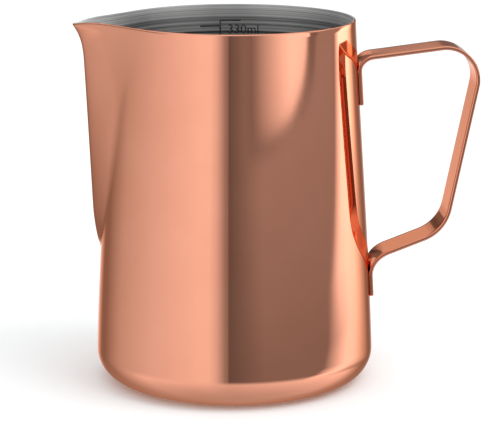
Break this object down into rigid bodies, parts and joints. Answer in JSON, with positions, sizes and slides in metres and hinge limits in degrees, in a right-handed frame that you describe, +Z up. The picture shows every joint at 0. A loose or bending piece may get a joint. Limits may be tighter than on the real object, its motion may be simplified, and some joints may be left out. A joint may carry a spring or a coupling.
{
  "type": "milk frothing jug",
  "caption": "Small steam-milk jug: tapering drawn metal shell with a V pouring spout and a bent strap handle spot-welded to the wall.",
  "frame": {"origin": "on the shell's axis, at the plane it stands on", "axes": "+Z up, +X towards the handle, -X towards the spout"},
  "size_m": [0.1062, 0.0736, 0.096],
  "materials": {
    "copper_body": "polished copper-coloured coating on stainless steel",
    "copper_handle": "polished copper-coloured coating on stainless steel strap",
    "weld_metal": "resistance spot-weld nuggets",
    "steel_inside": "bare stainless steel, fine rings of brushing",
    "etched_marks": "dark laser-marked filling scale"
  },
  "bodies": {
    "root": {"jug_body": "copper_body", "handle": "copper_handle", "upper_welds": "weld_metal", "lower_welds": "weld_metal"}
  },
  "joints": []
}
